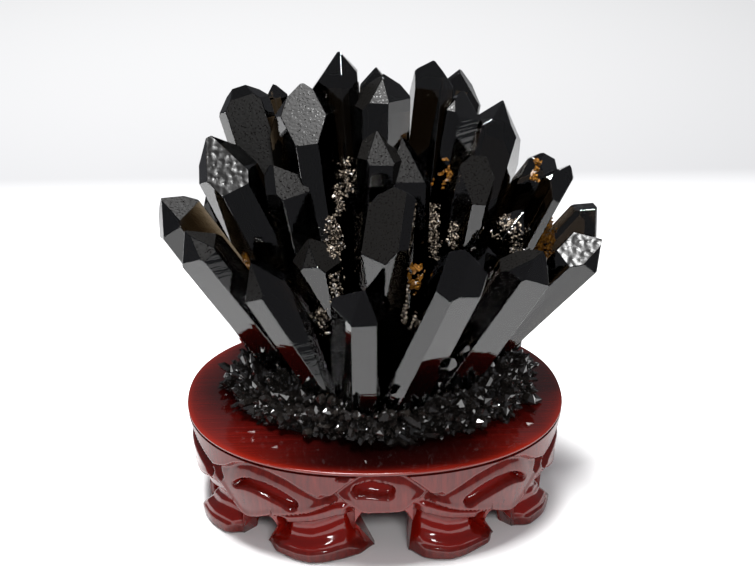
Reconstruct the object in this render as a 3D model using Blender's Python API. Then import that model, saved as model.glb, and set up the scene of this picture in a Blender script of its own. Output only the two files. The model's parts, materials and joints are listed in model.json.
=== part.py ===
"""A cluster of dark smoky quartz crystals resting on its carved oval wooden stand.

Three pieces: the crystal cluster, which grew as one stone, the stand's top board, and the stand's
carved skirt with its scroll feet. The origin is on the table under the middle of the whole, just beside
the board's own middle. +X is the viewer's right, +Y is away from the viewer and +Z is up.
"""

import itertools
import math
import random

import bmesh
import bpy
import numpy as np
from mathutils import Vector, noise

MM = 0.001

# The crystals reach further to the right and to the back, so the stand's middle is beside the origin
STAND_MIDDLE = (-2.3, -1.1)

# Stand
BOARD_LENGTH = 160.0
BOARD_DEPTH = 130.0
BOARD_CURVE = 2.2
BOARD_TOP = 48.0
BOARD_THICKNESS = 2.0
BOARD_EDGE_ROUND = 0.6
FIT_GAP = 0.3
SKIRT_WALL = 9.0
SKIRT_TOP = BOARD_TOP - BOARD_THICKNESS - FIT_GAP
OUTLINE_STEPS = 3600

# Stone
STONE_FOOT = BOARD_TOP + FIT_GAP
CRUST_MIDDLE = (3.0, 1.0)
CRUST_SIZE = (64.0, 43.0, 19.0)
PYRAMID_SLOPE = math.radians(51.8)
SMALL_POINTS = 64

# Feet, as bearings in degrees from the front towards the right: where the waist starts and ends,
# and where the floor scroll starts and ends. The back feet mirror the front ones.
FRONT_LEFT_FOOT = (10.0, 38.5, 2.0, 45.5)
FRONT_RIGHT_FOOT = (12.0, 39.5, 11.5, 47.8)
OUTER_FOOT = (54.0, 79.0, 57.0, 82.0)
FRONT_GAP_HEIGHT = 28.0
CORNER_GAP_HEIGHT = 17.5
SIDE_GAP_HEIGHT = 21.0
SCROLL_TOP = 10.0
GAP_SIDE = 0.6

# How far inside the board's outline a foot's rim stands on the floor, by bearing from front or back
FOOT_REACH = ((0, 15.5), (9, 11.5), (14, 8.6), (20, 5.4), (26, 3.6), (37, 6.2), (48, 8.6), (57, 5.6),
              (68, 3.0), (76, 3.0), (83, 4.2), (90, 6.0))
FOOT_DEPTH = 8.0

# Each large crystal: name, foot (x, y), tip (x, y, z), width across its sides, turn in degrees,
# how far below the tip each of its six end faces crosses the axis, and how far each of its six
# sides stands out beyond half the width. All in millimetres.
CRYSTALS = (
    ("tall_left_back", (-19.9, 12.6), (-56.7, 48.4, 175.1), 20.1, 30,
     (2, 11.3, 2.8, 0, 0.5, 0.2), (-1.7, -1.5, 0, 1.1, -2.4, 0.2)),
    ("tall_left_middle", (-13.4, 3.1), (-30.5, 24.7, 181.6), 27.1, 146,
     (4.2, 1.2, 5.6, 0, 1.3, 2.7), (3, -2.5, 3, -0.4, 1.1, -1.6)),
    ("tallest", (-7.5, 11.8), (-15.1, 34.3, 193.6), 20.1, 357,
     (2.7, 7.7, 8.4, 6.8, 3, 0), (-1.4, 0.4, 0.5, 0.6, -1.4, 0.8)),
    ("back_behind_tallest", (-0.9, 18), (2.1, 63.3, 174), 11.5, 43,
     (0.2, 2, 3.4, 1.1, 0, 0), (-0.4, 0, -1.3, 1.7, -1.9, -1)),
    ("upper_middle", (2.3, 8.3), (5.1, 24.8, 186.2), 22.4, 18,
     (1.4, 7.5, 0.6, 2.9, 0, 2.8), (-1.5, 0.1, 0.5, 0.7, 0.7, -2.1)),
    ("tall_right_middle", (11.1, 10.8), (26.8, 47.7, 183.4), 18.6, 4,
     (2.4, 2.1, 2.4, 0.1, 5, 0), (-0.7, 0.4, 3, -2.4, -0.9, 2.5)),
    ("back_right_behind", (17.5, 17.2), (43.4, 62.3, 176.1), 13.8, 38,
     (0.4, 4.9, 3.1, 0, 1.2, 8.3), (-0.6, 0.6, -1.2, 1.5, -2.2, 1.6)),
    ("upper_right", (19.1, 7.5), (40.5, 38.7, 172.5), 17.6, 6,
     (4.3, 1.8, 1, 1.4, 0, 6), (2.2, 0.1, -1.4, -0.6, 1.1, -2.2)),
    ("upper_right_outer", (23.4, 4.3), (61.1, 46.2, 166.6), 22.4, 39,
     (10.8, 7.4, 2.2, 0.6, 3.2, 8.3), (3, 0.1, -1.1, 2.9, -1.8, -2.5)),
    ("right_shoulder_back", (27.3, 3.8), (76.9, 31.7, 146.4), 17.4, 3,
     (0, 0.6, 4.9, 0, 0, 3.7), (-0.4, 0, 3, -1.4, -1.9, 0.8)),
    ("right_shoulder", (34.2, 2.3), (79.9, 10.3, 149.4), 16.1, 43,
     (0, 0.8, 5.1, 1, 3.5, 0.1), (1.7, -1.2, -2.5, -0.3, 2.3, -2.4)),
    ("right_side_back", (31.8, 3.5), (98.3, 14.4, 130.9), 16.6, 10,
     (9.6, 4, 4, 4, 0, 3.5), (-0.1, 0.3, -1.3, -0.4, -1.9, 1.8)),
    ("far_right", (34.1, -1.6), (95, -5.2, 124.7), 17.4, 39,
     (0.8, 4.3, 1.5, 9.9, 5.6, 3.6), (0.1, -0.4, -0.5, 0.1, 0, 0.9)),
    ("right_front", (24.8, -20.3), (65.5, -26.2, 127.3), 18.7, 53,
     (2.8, 0, 4.2, 0.2, 1.6, 0), (-0.2, -0.3, 0.7, 1.6, -0.4, 0.8)),
    ("front_right", (7.6, -28.6), (37.3, -46.1, 139.2), 21.6, 52,
     (9.6, 5.4, 0.2, 4.4, 4.6, 1.4), (0.4, 3, -2.5, 3, 1.1, -2)),
    ("middle_right", (25.2, -8), (43.6, -2.7, 160.4), 14.5, 41,
     (0.5, 1.4, 0.4, 0.2, 11.4, 2.8), (-2.5, -0.7, 0.2, 0.1, 1.6, -0.9)),
    ("middle", (-1.5, -11.5), (3.5, 12.3, 167.6), 18.7, 38,
     (2.7, 4.9, 0, 3.2, 5.4, 7.5), (1.9, -0.3, -2.1, 1.4, 1.2, -1.2)),
    ("middle_behind", (8.5, -2.5), (11.5, 13.9, 160.9), 19.4, 98,
     (0, 2.1, 5.5, 6.4, 4.1, 0), (1.4, 1.3, 0.7, 0.8, 3, -2.5)),
    ("middle_front", (2.3, -16.5), (6, -27.9, 157.3), 22.3, 348,
     (0, 1, 0.7, 4.2, 15.6, 9.1), (-2.5, -1.4, 0, -1.1, 1, 1.7)),
    ("middle_left", (-20.5, -6.9), (-39.9, 5.6, 154.3), 17.6, 356,
     (0, 4.4, 0, 0.2, 4.1, 6.4), (2.2, -0.6, 0.3, -2.5, -0.8, -0.4)),
    ("left_shoulder", (-19.3, 3.6), (-70.4, 27.1, 159.6), 23.8, 91,
     (0.5, 1.7, 7.5, 11.3, 7.3, 2), (0.1, -1.6, -1.1, 1.9, 1.4, -1.5)),
    ("far_left", (-34, 3.3), (-87.7, 10.7, 138.1), 19.4, 21,
     (0.2, 4, 0, 2, 2.1, 4.5), (0.5, -1.1, -2.2, 1.7, 0.9, -2.3)),
    ("left_side", (-30.3, -6.7), (-77, -13.8, 131.8), 18.6, 359,
     (2, 1.6, 2.3, 2.6, 2.3, 0.1), (-1.2, 2, 1.2, -0.5, -1.5, 1.3)),
    ("front_left", (-15.7, -25.3), (-53.2, -24.5, 123.9), 17.9, 356,
     (3, 0.2, 0, 6.2, 6.3, 4.3), (1.7, -2.2, -0.2, -1.4, -0.7, -0.5)),
    ("front_middle", (-6.7, -32.2), (-7.4, -46.3, 125.3), 21.2, 30,
     (0.7, 9.2, 0.2, 5.1, 3, 2.7), (-0.7, 0.3, 0.5, -1.7, 0.4, -0.2)),
    ("tall_left_between", (-17, 16), (-42, 56, 169), 11, 0,
     (0, 1, 0, 2, 0, 1), (0, 0, 0, 0, 0, 0)),
    ("front_needle", (22, -24), (34, -43, 94), 5, 0,
     (0, 2, 0, 3, 0, 1), (0, 0, 0, 0, 0, 0)),
    ("front_pale_point", (18, -27), (28, -46, 89), 7, 10,
     (0, 1, 0, 2, 0, 1), (0, 0, 0, 0, 0, 0)),
    ("left_dark_body", (-14, -12), (-26, -14, 128), 17, 20,
     (0, 2, 0, 1, 0, 3), (0, 0, 0, 0, 0, 0)),
    ("left_inner_body", (-22, -4), (-30, -4, 112), 15, 0,
     (0, 1, 0, 2, 0, 1), (0, 0, 0, 0, 0, 0)),
    ("right_dark_body", (22, -10), (46, -18, 124), 15, 10,
     (0, 2, 0, 1, 0, 3), (0, 0, 0, 0, 0, 0)),
    ("right_inner_body", (30, 0), (62, 6, 130), 14, 30,
     (0, 2, 0, 1, 0, 1), (0, 0, 0, 0, 0, 0)),
    ("rear_far_left", (-30, 12), (-70, 40, 134), 18, 5,
     (0, 1, 0, 2, 0, 1), (0, 0, 0, 0, 0, 0)),
    ("rear_left", (-20, 20), (-44, 55, 141), 19, 15,
     (0, 2, 0, 1, 0, 1), (0, 0, 0, 0, 0, 0)),
    ("rear_left_low", (-12, 25), (-24, 60, 120), 20, 25,
     (0, 1, 2, 0, 0, 1), (0, 0, 0, 0, 0, 0)),
    ("rear_middle", (0, 25), (-4, 61, 146), 21, 0,
     (1, 0, 0, 2, 0, 1), (0, 0, 0, 0, 0, 0)),
    ("rear_middle_low", (8, 28), (16, 60, 112), 18, 10,
     (0, 1, 0, 2, 1, 0), (0, 0, 0, 0, 0, 0)),
    ("rear_right", (16, 22), (32, 60, 140), 20, 20,
     (0, 0, 2, 0, 1, 0), (0, 0, 0, 0, 0, 0)),
    ("rear_right_low", (28, 22), (58, 55, 118), 19, 0,
     (0, 1, 0, 2, 0, 1), (0, 0, 0, 0, 0, 0)),
    ("rear_far_right", (36, 14), (76, 38, 131), 17, 10,
     (1, 0, 2, 0, 0, 1), (0, 0, 0, 0, 0, 0)),
    ("rear_left_side_low", (-34, 16), (-66, 44, 104), 17, 0,
     (0, 1, 0, 0, 2, 0), (0, 0, 0, 0, 0, 0)),
)
CRYSTAL_START = 1.5


def clear_scene():
    for old in list(bpy.data.objects):
        bpy.data.objects.remove(old, do_unlink=True)


def finish_material(name, colour, roughness, metallic=0.0, see_through=0.0):
    """A plain finish: base colour, roughness, metallic value and how much light passes through."""
    material = bpy.data.materials.new(name)
    material.use_nodes = True
    shader = material.node_tree.nodes["Principled BSDF"]
    shader.inputs["Base Color"].default_value = (*colour, 1.0)
    shader.inputs["Roughness"].default_value = roughness
    shader.inputs["Metallic"].default_value = metallic
    shader.inputs["Transmission Weight"].default_value = see_through
    return material


def object_from(bm, name, material=None):
    bmesh.ops.recalc_face_normals(bm, faces=bm.faces)
    mesh = bpy.data.meshes.new(name)
    bm.to_mesh(mesh)
    bm.free()
    made = bpy.data.objects.new(name, mesh)
    bpy.context.scene.collection.objects.link(made)
    if material:
        mesh.materials.append(material)
    return made


def board_outline(count, inset=0.0):
    """Evenly spaced points (x, y) round the board's oval, starting at the front middle."""
    half_x = BOARD_LENGTH / 2 - inset
    half_y = BOARD_DEPTH / 2 - inset
    fine = []
    for step in range(OUTLINE_STEPS + 1):
        angle = 2 * math.pi * step / OUTLINE_STEPS - math.pi / 2
        c, s = math.cos(angle), math.sin(angle)
        x = math.copysign(abs(c) ** (2 / BOARD_CURVE), c) * half_x
        y = math.copysign(abs(s) ** (2 / BOARD_CURVE), s) * half_y
        fine.append((x, y))
    lengths = [0.0]
    for before, after in zip(fine, fine[1:]):
        lengths.append(lengths[-1] + math.dist(before, after))
    points, at = [], 0
    for index in range(count):
        wanted = lengths[-1] * index / count
        while lengths[at + 1] < wanted:
            at += 1
        points.append(fine[at])
    return points


def point_at_bearing(bearing, inset):
    """The point of the board's oval seen from its middle at a bearing, moved straight inwards."""
    angle = math.radians(bearing - 90.0)
    c, s = math.cos(angle), math.sin(angle)
    reach = (abs(2 * c / BOARD_LENGTH) ** BOARD_CURVE + abs(2 * s / BOARD_DEPTH) ** BOARD_CURVE) ** (
        -1 / BOARD_CURVE
    )
    x, y = c * reach, s * reach
    slope_x = math.copysign(abs(2 * x / BOARD_LENGTH) ** (BOARD_CURVE - 1) / BOARD_LENGTH, x)
    slope_y = math.copysign(abs(2 * y / BOARD_DEPTH) ** (BOARD_CURVE - 1) / BOARD_DEPTH, y)
    size = math.hypot(slope_x, slope_y)
    return x - inset * slope_x / size, y - inset * slope_y / size


def make_board():
    """The oval top board, with its upper and lower edges softened."""
    rings = (
        (BOARD_TOP - BOARD_THICKNESS, BOARD_EDGE_ROUND / 2),
        (BOARD_TOP - BOARD_THICKNESS + BOARD_EDGE_ROUND / 2, 0.0),
        (BOARD_TOP - BOARD_EDGE_ROUND, 0.0),
        (BOARD_TOP, BOARD_EDGE_ROUND),
    )
    bm = bmesh.new()
    loops = []
    for height, inset in rings:
        loops.append([bm.verts.new((x * MM, y * MM, height * MM)) for x, y in board_outline(96, inset)])
    for lower, upper in zip(loops, loops[1:]):
        for index in range(len(lower)):
            after = (index + 1) % len(lower)
            bm.faces.new((lower[index], lower[after], upper[after], upper[index]))
    bm.faces.new(loops[0])
    bm.faces.new(loops[-1])
    return object_from(bm, "stand_board", finish_material("lacquered_board", (0.20, 0.025, 0.015), 0.18))


def smooth_step(value):
    value = min(1.0, max(0.0, value))
    return value * value * (3 - 2 * value)


def feet_round_the_stand():
    """The eight feet in order of bearing, each as (waist start, waist end, floor start, floor end)."""
    def mirrored(foot, turn):
        return turn - foot[1], turn - foot[0], turn - foot[3], turn - foot[2]
    right = [FRONT_RIGHT_FOOT, OUTER_FOOT, mirrored(OUTER_FOOT, 180), mirrored(FRONT_RIGHT_FOOT, 180)]
    left = [tuple(180 + v for v in FRONT_LEFT_FOOT), tuple(180 + v for v in OUTER_FOOT)]
    return right + left + [mirrored(OUTER_FOOT, 360), mirrored(FRONT_LEFT_FOOT, 360)]


def foot_reach(bearing):
    """How far inside the board's outline the floor rim is, the same on all four quarters."""
    bearing = abs((bearing + 180) % 360 - 180)
    places, insets = zip(*FOOT_REACH)
    return float(np.interp(min(bearing, 180 - bearing), places, insets))


def gap_height(bearing):
    """How high the skirt's underside is in the gap nearest to a bearing."""
    heights = {0: FRONT_GAP_HEIGHT, 45: CORNER_GAP_HEIGHT, 90: SIDE_GAP_HEIGHT, 135: CORNER_GAP_HEIGHT}
    return heights[round(bearing / 45) * 45 % 180]


def skirt_columns():
    """Columns round the skirt: bearing, underside height, and the foot that carries it or None."""
    feet = feet_round_the_stand()
    columns = []
    for foot, following in zip(feet, feet[1:] + [tuple(value + 360 for value in feet[0])]):
        for part in (0.0, 0.1, 0.3, 0.5, 0.7, 0.9, 1.0):
            columns.append((foot[0] + (foot[1] - foot[0]) * part, 0.0, foot))
        start, end = foot[1] + GAP_SIDE, following[0] - GAP_SIDE
        height = gap_height((start + end) / 2)
        for part in (0.0, 0.2, 0.4, 0.6, 0.8, 1.0):
            arch = 1.0 - 0.18 * abs(2 * part - 1) ** 3
            columns.append((start + (end - start) * part, height * arch, None))
    return columns


def skirt_section(bottom, foot, bearing):
    """(height, inset) of the skirt's outer face, bottom to top, then of its inner face, top to bottom."""
    span = SKIRT_TOP - bottom
    inner = [(SKIRT_TOP, SKIRT_WALL + 2.0), (bottom + span * 0.5, SKIRT_WALL + 4.0), (bottom, SKIRT_WALL + 8.0)]
    if foot is None:
        outer = [(bottom + span * part, 4.5 * (1 - part) ** 2) for part in (0, 0.15, 0.3, 0.45, 0.6, 0.8, 1)]
        return outer, inner
    reach = foot_reach(turned_on_floor(bearing, 0.0, foot))
    outer = [(0.0, reach + 0.8), (3.5, reach), (8.5, reach + 5.0), (14.0, max(9.5, reach + 4.0)), (21.0, 5.5),
             (30.0, 1.2), (SKIRT_TOP, 0.0)]
    inner[2] = (bottom, max(SKIRT_WALL + 8.0, reach + FOOT_DEPTH))
    return outer, inner


def turned_on_floor(bearing, height, foot):
    """The bearing of a foot's point: the scroll on the floor is wider than the waist above it."""
    waist_start, waist_end, floor_start, floor_end = foot
    part = (bearing - waist_start) / (waist_end - waist_start)
    on_floor = floor_start + part * (floor_end - floor_start)
    return bearing + (on_floor - bearing) * smooth_step(1 - height / SCROLL_TOP)


def make_skirt():
    """The carved skirt: a wall under the board's rim, arched between eight feet that curl outwards."""
    bm = bmesh.new()
    loops = []
    for bearing, bottom, foot in skirt_columns():
        outer, inner = skirt_section(bottom, foot, bearing)
        loop = []
        for height, inset in outer + inner:
            turned = turned_on_floor(bearing, height, foot) if foot else bearing
            x, y = point_at_bearing(turned, inset)
            loop.append(bm.verts.new((x * MM, y * MM, height * MM)))
        loops.append(loop)
    for index, loop in enumerate(loops):
        after = loops[(index + 1) % len(loops)]
        for k in range(len(loop)):
            n = (k + 1) % len(loop)
            bm.faces.new((loop[k], after[k], after[n], loop[n]))
    bmesh.ops.triangulate(bm, faces=bm.faces)
    return object_from(bm, "stand_skirt", finish_material("lacquered_skirt", (0.16, 0.03, 0.025), 0.2))


def cut_flat(bm, point, normal):
    """Cuts off what lies beyond a plane and closes the cut with one face."""
    geometry = bm.verts[:] + bm.edges[:] + bm.faces[:]
    cut = bmesh.ops.bisect_plane(
        bm, geom=geometry, dist=1e-7, plane_co=point, plane_no=normal, clear_outer=True
    )
    edges = [item for item in cut["geom_cut"] if isinstance(item, bmesh.types.BMEdge)]
    if edges:
        bmesh.ops.edgeloop_fill(bm, edges=[edge for edge in edges if edge.is_boundary])


def solid_between(flats):
    """The convex solid inside all the given flats (outward direction, a point on it)."""
    outward = np.array([flat[0] for flat in flats])
    level = np.array([flat[0].dot(flat[1]) for flat in flats])
    triples = np.array(list(itertools.combinations(range(len(flats)), 3)))
    meeting = abs(np.linalg.det(outward[triples])) > 1e-3
    triples = triples[meeting]
    places = np.linalg.solve(outward[triples], level[triples][..., None])[..., 0]
    places = places[(places @ outward.T <= level + 1e-6).all(axis=1)]
    corners = []
    for place in places:
        if all(np.linalg.norm(place - other) > 2e-5 for other in corners):
            corners.append(place)
    bm = bmesh.new()
    verts = [bm.verts.new(tuple(corner)) for corner in corners]
    for (normal, point), reach in zip(flats, level):
        held = [vert for vert in verts if abs(vert.co.dot(normal) - reach) < 2e-5]
        if len(held) < 3:
            continue
        middle = sum((vert.co for vert in held), Vector()) / len(held)
        first = (held[0].co - middle).normalized()
        second = normal.cross(first)
        held.sort(key=lambda vert: math.atan2((vert.co - middle).dot(second), (vert.co - middle).dot(first)))
        bm.faces.new(held)
    return bm


def foot_in_crust(foot, tip, width):
    """The foot of a large crystal, moved down its axis until it starts just above the stone's flat base."""
    foot, tip = Vector((*foot, 58.0)), Vector(tip)
    axis = (tip - foot).normalized()
    lean = math.hypot(axis.x, axis.y)
    start = STONE_FOOT + CRYSTAL_START + (width / 2 + 3.0) * 1.16 * lean
    return foot - axis * (foot.z - start) / axis.z


def crystal_solid(foot, tip, width, turn, lows, pads):
    """A six-sided prism from foot to tip ended by six sloping faces, as a bmesh in metres."""
    foot, tip = Vector(foot) * MM, Vector(tip) * MM
    axis = (tip - foot).normalized()
    side = (Vector((1, 0, 0)) - axis * axis.x).normalized()
    across = axis.cross(side)
    flats = [(-axis, foot)]
    for face in range(6):
        angle = math.radians(60 * face + turn)
        out = side * math.cos(angle) + across * math.sin(angle)
        flats.append((out, foot + out * (width / 2 + pads[face]) * MM))
        slope = out * math.sin(PYRAMID_SLOPE) + axis * math.cos(PYRAMID_SLOPE)
        flats.append((slope, tip - axis * lows[face] * MM))
    return solid_between(flats)


def make_crust():
    """The low rough dome that every crystal grows from, flat underneath."""
    bm = bmesh.new()
    bmesh.ops.create_icosphere(bm, subdivisions=3, radius=1.0)
    for vert in bm.verts:
        lump = 1.0 + 0.10 * noise.noise(vert.co * 3.0) + 0.05 * noise.noise(vert.co * 9.0)
        x, y, z = vert.co * lump
        vert.co = (
            (CRUST_MIDDLE[0] + x * CRUST_SIZE[0]) * MM,
            (CRUST_MIDDLE[1] + y * CRUST_SIZE[1]) * MM,
            (STONE_FOOT - 2.0 + z * CRUST_SIZE[2]) * MM,
        )
    cut_flat(bm, Vector((0, 0, STONE_FOOT * MM)), Vector((0, 0, -1)))
    return object_from(bm, "quartz_cluster", finish_material("smoky_quartz", (0.012, 0.010, 0.009), 0.06, 0.0, 1.0))


def small_point_places():
    """Feet and tips of the short points that stand on the crust's rim and between the large crystals."""
    rng = random.Random(7)
    for index in range(SMALL_POINTS):
        angle = 2 * math.pi * (index + rng.uniform(-0.3, 0.3)) / SMALL_POINTS
        rise = rng.choice((12.0, 24.0, 42.0))
        out = Vector((math.cos(angle) * CRUST_SIZE[0], math.sin(angle) * CRUST_SIZE[1], 0)).normalized()
        level = math.radians(rise)
        x = CRUST_MIDDLE[0] + math.cos(angle) * CRUST_SIZE[0] * 0.88 * math.cos(level)
        y = CRUST_MIDDLE[1] + math.sin(angle) * CRUST_SIZE[1] * 0.88 * math.cos(level)
        z = STONE_FOOT + 3.5 + CRUST_SIZE[2] * 0.8 * math.sin(level)
        length = rng.uniform(9.0, 13.0)
        aim = (out * math.cos(level * 1.3) + Vector((0, 0, math.sin(level * 1.3)))).normalized()
        foot = Vector((x, y, z)) - aim * 3
        yield tuple(foot), tuple(foot + aim * length), rng.uniform(3.5, 5.5), rng.uniform(0, 60)


def keep_outer_skin(bm):
    """Keeps only the outermost skin of the stone: pockets sealed between crystals are solid quartz."""
    bmesh.ops.remove_doubles(bm, verts=bm.verts, dist=2e-6)
    left, skins = set(bm.faces), []
    while left:
        edge_faces, skin = [left.pop()], []
        while edge_faces:
            face = edge_faces.pop()
            skin.append(face)
            for near in {other for edge in face.edges for other in edge.link_faces} & left:
                left.discard(near)
                edge_faces.append(near)
        skins.append(skin)
    skins.sort(key=len)
    inner = [face for skin in skins[:-1] for face in skin]
    bmesh.ops.delete(bm, geom=inner, context="FACES")


def make_cluster(whole):
    """One stone: the crust, the large crystals and the short points joined in one solid."""
    cluster = make_crust()
    grown = bpy.data.collections.new("crystals")
    bpy.context.scene.collection.children.link(grown)
    pieces = []
    for name, foot, tip, width, turn, lows, pads in CRYSTALS:
        pieces.append((name, crystal_solid(foot_in_crust(foot, tip, width), tip, width, turn, lows, pads)))
    for index, (foot, tip, width, turn) in enumerate(small_point_places()):
        pieces.append((f"small_point_{index}", crystal_solid(foot, tip, width, turn, (0,) * 6, (0,) * 6)))
    for name, bm in pieces:
        bmesh.ops.triangulate(bm, faces=bm.faces)
        piece = object_from(bm, name)
        bpy.context.scene.collection.objects.unlink(piece)
        grown.objects.link(piece)
    join = cluster.modifiers.new("grown_together", "BOOLEAN")
    join.operation = "UNION"
    join.solver = "EXACT"
    join.operand_type = "COLLECTION"
    join.collection = grown
    graph = bpy.context.evaluated_depsgraph_get()
    bm = bmesh.new()
    bm.from_mesh(cluster.evaluated_get(graph).to_mesh())
    keep_outer_skin(bm)
    cluster.modifiers.clear()
    bm.to_mesh(cluster.data)
    bm.free()
    for piece in list(grown.objects):
        bpy.data.objects.remove(piece, do_unlink=True)
    bpy.data.collections.remove(grown)
    cluster.parent = whole


def main():
    clear_scene()
    whole = bpy.data.objects.new("cluster_on_stand", None)
    whole.location = (STAND_MIDDLE[0] * MM, STAND_MIDDLE[1] * MM, 0)
    bpy.context.scene.collection.objects.link(whole)
    for piece in (make_board(), make_skirt()):
        piece.parent = whole
    make_cluster(whole)


main()
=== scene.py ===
import itertools
import json
import math
import random

import bmesh
import bpy
import numpy as np
from mathutils import Euler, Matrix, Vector, noise
from mathutils.bvhtree import BVHTree

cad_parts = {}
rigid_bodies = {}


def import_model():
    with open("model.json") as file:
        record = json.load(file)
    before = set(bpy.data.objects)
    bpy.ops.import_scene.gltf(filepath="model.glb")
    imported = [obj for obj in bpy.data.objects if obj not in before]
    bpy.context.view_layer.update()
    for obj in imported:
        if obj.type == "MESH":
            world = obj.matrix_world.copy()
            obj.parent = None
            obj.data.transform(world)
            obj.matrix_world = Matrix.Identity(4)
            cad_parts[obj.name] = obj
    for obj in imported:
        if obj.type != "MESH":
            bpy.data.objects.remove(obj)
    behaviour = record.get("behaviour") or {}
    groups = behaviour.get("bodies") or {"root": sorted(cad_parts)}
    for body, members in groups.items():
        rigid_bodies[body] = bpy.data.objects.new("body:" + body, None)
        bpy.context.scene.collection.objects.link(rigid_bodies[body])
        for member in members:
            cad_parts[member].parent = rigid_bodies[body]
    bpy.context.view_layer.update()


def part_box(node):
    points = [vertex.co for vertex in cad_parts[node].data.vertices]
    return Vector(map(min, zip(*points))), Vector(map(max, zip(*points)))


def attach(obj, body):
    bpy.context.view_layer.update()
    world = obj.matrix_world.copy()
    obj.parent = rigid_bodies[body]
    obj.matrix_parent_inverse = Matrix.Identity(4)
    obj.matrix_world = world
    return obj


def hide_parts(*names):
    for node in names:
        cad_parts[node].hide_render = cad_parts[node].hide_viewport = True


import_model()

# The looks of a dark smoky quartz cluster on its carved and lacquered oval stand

MM = 0.001
board_low, board_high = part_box("stand_board")
STAND_MIDDLE = Vector(((board_low.x + board_high.x) / 2, (board_low.y + board_high.y) / 2, 0))

# The stand's driving sizes in millimetres, as in the frame
BOARD_LENGTH = (board_high.x - board_low.x) / MM
BOARD_DEPTH = (board_high.y - board_low.y) / MM
BOARD_TOP = board_high.z / MM
BOARD_BOTTOM = board_low.z / MM
BOARD_CURVE = 2.2
SKIRT_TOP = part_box("stand_skirt")[1].z / MM
SKIRT_WALL = 9.0
STONE_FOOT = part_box("quartz_cluster")[0].z / MM
CRUST_MIDDLE = (3.0, 1.0)
CRUST_SIZE = (64.0, 43.0, 19.0)
# How much squarer than an ellipsoid the crust is: 2 would be an ellipsoid
CRUST_CURVE = 3.2
PYRAMID_SLOPE = math.radians(51.8)
# The height at which each crystal's foot is given, how far above the stone's base its lowest corner
# starts, the furthest that a side stands out, and how far a corner reaches for each unit of a side
CRYSTAL_LEVEL = 58.0
CRYSTAL_START = 1.5
WIDEST_PAD = 3.0
CORNER_REACH = 1.16
DRUSE_POINTS = 3000
FOOT_POINTS = 1100
QUARTZ_IOR = 1.545
LACQUER_IOR = 1.5

# The view of the photograph
VIEW_DISTANCE = 600.0
VIEW_HEIGHT = math.radians(30.0)
VIEW_TURN = math.radians(2.5)
VIEW_PITCH = math.radians(25.6)
VIEW_SIDE = 1.1
LENS = 66.3

# The pale sheet: its edges in metres, and its colour behind the stand, nearer and further off
SHEET_SIDE = 0.9
SHEET_FRONT = -0.9
SHEET_BACK = 1.8
SHEET_FAR = ("A6A6A7", "D0D0D0")

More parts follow.
